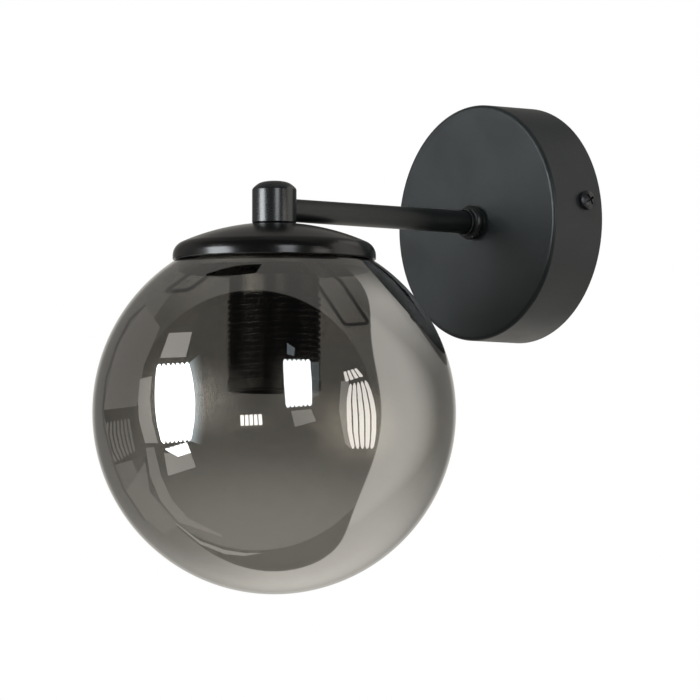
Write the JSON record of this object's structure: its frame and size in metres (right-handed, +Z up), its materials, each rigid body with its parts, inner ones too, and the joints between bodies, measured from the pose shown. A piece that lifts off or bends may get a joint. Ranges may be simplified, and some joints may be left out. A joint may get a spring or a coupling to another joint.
{
  "type": "globe wall sconce",
  "caption": "Wall light with a smoked glass globe hung under a black cap on a short straight arm from a round canopy.",
  "frame": {"origin": "on the wall, at the centre of the round canopy and in line with the arm", "axes": "-Y out of the wall along the arm, +Z up, +X to the right of a person facing the wall"},
  "size_m": [0.15, 0.213, 0.209],
  "materials": {
    "canopy_paint": "matte, fine powder texture",
    "arm_paint": "satin powder",
    "head_black": "satin, turned",
    "cap_black": "semi-gloss",
    "screw_black": "blackened steel",
    "zinc": "zinc plated",
    "spring_wire": "bright spring wire",
    "carrier_steel": "grey satin",
    "brass": "plain",
    "block_plastic": "natural",
    "holder_plastic": "satin black thermoplastic",
    "insert_ceramic": "unglazed",
    "gasket_rubber": "matte",
    "brown_sheath": "smooth",
    "blue_sheath": "smooth",
    "green_sheath": "smooth",
    "smoked_glass": "clear smoked, part-mirror"
  },
  "bodies": {
    "fixture": {"canopy_cup": "canopy_paint", "canopy_screws": "screw_black", "wall_plate": "zinc", "earth_screw": "brass", "earth_lead": "green_sheath", "terminal_block": "block_plastic", "terminal_barrels": "brass", "terminal_screws": "zinc", "block_screw": "zinc", "live_lead": "brown_sheath", "neutral_lead": "blue_sheath", "arm_tube": "arm_paint", "arm_collar": "arm_paint", "collar_grub_screw": "screw_black", "arm_lock_washer": "zinc", "arm_nut": "zinc", "arm_head": "head_black", "hollow_nipple": "zinc", "cap_dome": "cap_black", "cap_lock_washer": "zinc", "nipple_nuts": "zinc", "clip_carrier": "carrier_steel", "clip_clamps": "zinc", "clip_rivets": "zinc", "front_clip": "spring_wire", "rear_clip": "spring_wire", "rim_gasket": "gasket_rubber", "holder_dome": "holder_plastic", "holder_skirt": "holder_plastic", "holder_insert": "insert_ceramic", "screw_shell": "zinc", "centre_contact": "brass", "insert_rivets": "brass", "holder_terminals": "brass", "holder_screws": "zinc", "earth_tags": "zinc"},
    "globe": {"glass_globe": "smoked_glass"}
  },
  "joints": [
    {"name": "globe_pull", "type": "slide", "parent": "fixture", "child": "globe", "axis": [0, 0, -1], "range_m": [0, 0.1], "deforming": ["front_clip", "rear_clip"]}
  ]
}
